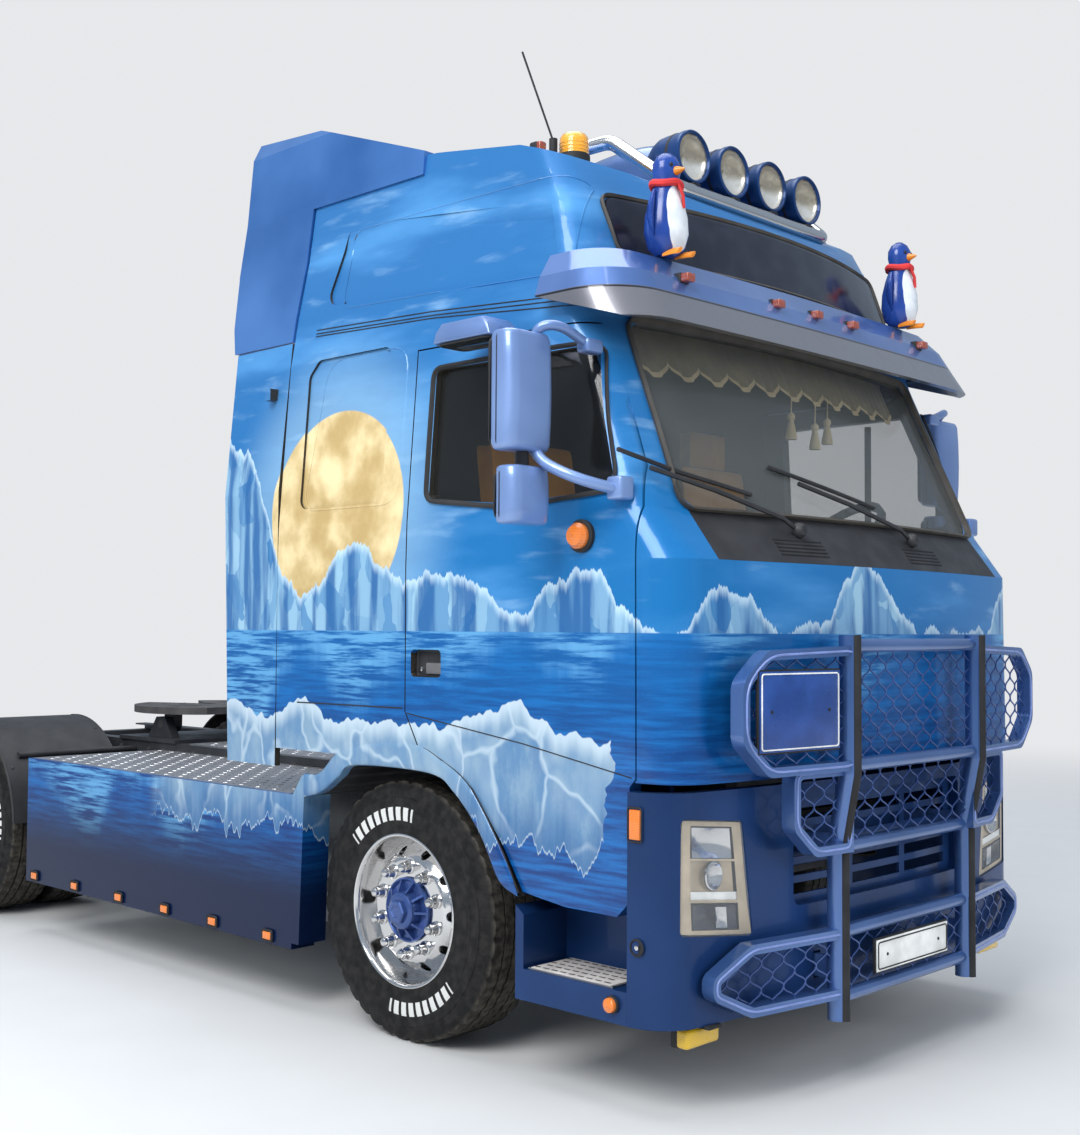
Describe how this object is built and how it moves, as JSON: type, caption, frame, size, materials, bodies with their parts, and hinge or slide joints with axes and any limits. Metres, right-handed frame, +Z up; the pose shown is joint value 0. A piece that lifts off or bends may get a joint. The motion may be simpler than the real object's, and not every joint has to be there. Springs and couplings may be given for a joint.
{
  "type": "decorated truck",
  "caption": "High-roof road tractor with a painted cab, bull bar, roof lamp bar, closed side skirts, twin rear wheels, swinging doors, steered front wheels and a rocking fifth wheel.",
  "frame": {"origin": "on the ground under the middle of the overall box", "axes": "+X to the vehicle's left, +Y to its rear, +Z up; the front faces -Y"},
  "size_m": [3.11, 6.26, 3.872],
  "materials": {
    "chassis_paint": "satin dark grey",
    "cast_iron": "rough casting, painted dark",
    "engine_paint": "satin grey",
    "tyre": "matte black",
    "black_rubber": "matte black",
    "polished_alloy": "polished",
    "deck_alloy": "plain",
    "tank_alloy": "brushed",
    "machined_steel": "greased, worn",
    "polished_steel": "polished",
    "cab_paint": "glossy, airbrushed",
    "violet_paint": "metallic, glossy",
    "navy_paint": "metallic, glossy",
    "blue_paint": "glossy",
    "dark_plastic": "grained",
    "grey_plastic": "grained",
    "black_board": "glossy",
    "window_glass": "clear",
    "lamp_lens": "clear, ribbed",
    "amber_lens": "amber",
    "red_lens": "red and amber",
    "seat_fabric": "woven, mustard",
    "bunk_fabric": "woven, brown",
    "pelmet_fabric": "velvet, olive brown",
    "figure_enamel": "glossy white"
  },
  "bodies": {
    "truck": {"chassis_frame": "chassis_paint", "front_axle": "cast_iron", "rear_axle": "cast_iron", "springs": "chassis_paint", "engine_block": "engine_paint", "fifth_wheel_base": "chassis_paint", "side_tanks": "tank_alloy", "side_skirts": "navy_paint", "deck_plates": "deck_alloy", "rear_mudguards": "dark_plastic", "tail_lamps": "red_lens", "cab_shell": "cab_paint", "windscreen": "window_glass", "front_hatch": "cab_paint", "corner_panels": "cab_paint", "cowl_panel": "dark_plastic", "name_board": "black_board", "sun_visor": "violet_paint", "roof_spoiler": "blue_paint", "side_deflectors": "cab_paint", "bumper": "navy_paint", "lower_grille": "dark_plastic", "headlights": "lamp_lens", "fenders": "violet_paint", "entry_steps": "navy_paint", "bull_bar": "violet_paint", "bar_mesh": "polished_steel", "bar_rubbers": "black_rubber", "marker_lamps": "amber_lens", "lamp_bar": "polished_steel", "roof_lamps": "violet_paint", "roof_pod": "blue_paint", "antenna": "black_rubber", "ornaments": "figure_enamel", "dashboard": "grey_plastic", "steering_wheel": "dark_plastic", "seats": "seat_fabric", "bunk": "bunk_fabric", "pelmet": "pelmet_fabric"},
    "door_right": {"door_right": "cab_paint", "door_glass_right": "window_glass", "side_mirror_right": "violet_paint"},
    "door_left": {"door_left": "cab_paint", "door_glass_left": "window_glass", "side_mirror_left": "violet_paint"},
    "knuckle_right": {"knuckle_right": "cast_iron"},
    "knuckle_left": {"knuckle_left": "cast_iron"},
    "front_wheel_right": {"tyre_front_right": "tyre", "wheel_front_right": "polished_alloy"},
    "front_wheel_left": {"tyre_front_left": "tyre", "wheel_front_left": "polished_alloy"},
    "rear_wheels_right": {"tyres_rear_right": "tyre", "wheels_rear_right": "polished_alloy"},
    "rear_wheels_left": {"tyres_rear_left": "tyre", "wheels_rear_left": "polished_alloy"},
    "fifth_wheel": {"fifth_wheel_plate": "machined_steel"}
  },
  "joints": [
    {"name": "steer_right", "type": "hinge", "parent": "truck", "child": "knuckle_right", "pos_m": [-0.905, -1.51, 0.507], "axis": [0, 0, 1], "range_deg": [-40, 40]},
    {"name": "steer_left", "type": "hinge", "parent": "truck", "child": "knuckle_left", "pos_m": [0.905, -1.51, 0.507], "axis": [0, 0, 1], "range_deg": [-40, 40]},
    {"name": "spin_front_right", "type": "hinge", "parent": "knuckle_right", "child": "front_wheel_right", "pos_m": [-1.03, -1.51, 0.507], "axis": [1, 0, 0], "continuous": true},
    {"name": "spin_front_left", "type": "hinge", "parent": "knuckle_left", "child": "front_wheel_left", "pos_m": [1.03, -1.51, 0.507], "axis": [1, 0, 0], "continuous": true},
    {"name": "spin_rear_right", "type": "hinge", "parent": "truck", "child": "rear_wheels_right", "pos_m": [-0.892, 2.19, 0.507], "axis": [1, 0, 0], "continuous": true},
    {"name": "spin_rear_left", "type": "hinge", "parent": "truck", "child": "rear_wheels_left", "pos_m": [0.892, 2.19, 0.507], "axis": [1, 0, 0], "continuous": true},
    {"name": "door_right_swing", "type": "hinge", "parent": "truck", "child": "door_right", "pos_m": [-1.222, -2.715, 1.6], "axis": [0, 0, 1], "range_deg": [0, 80]},
    {"name": "door_left_swing", "type": "hinge", "parent": "truck", "child": "door_left", "pos_m": [1.222, -2.715, 1.6], "axis": [0, 0, -1], "range_deg": [0, 80]},
    {"name": "fifth_wheel_rock", "type": "hinge", "parent": "truck", "child": "fifth_wheel", "pos_m": [0, 1.62, 1.045], "axis": [1, 0, 0], "range_deg": [-12, 12]}
  ],
  "couplings": [
    {"joint": "steer_left", "follows": "steer_right", "ratio": 1}
  ]
}
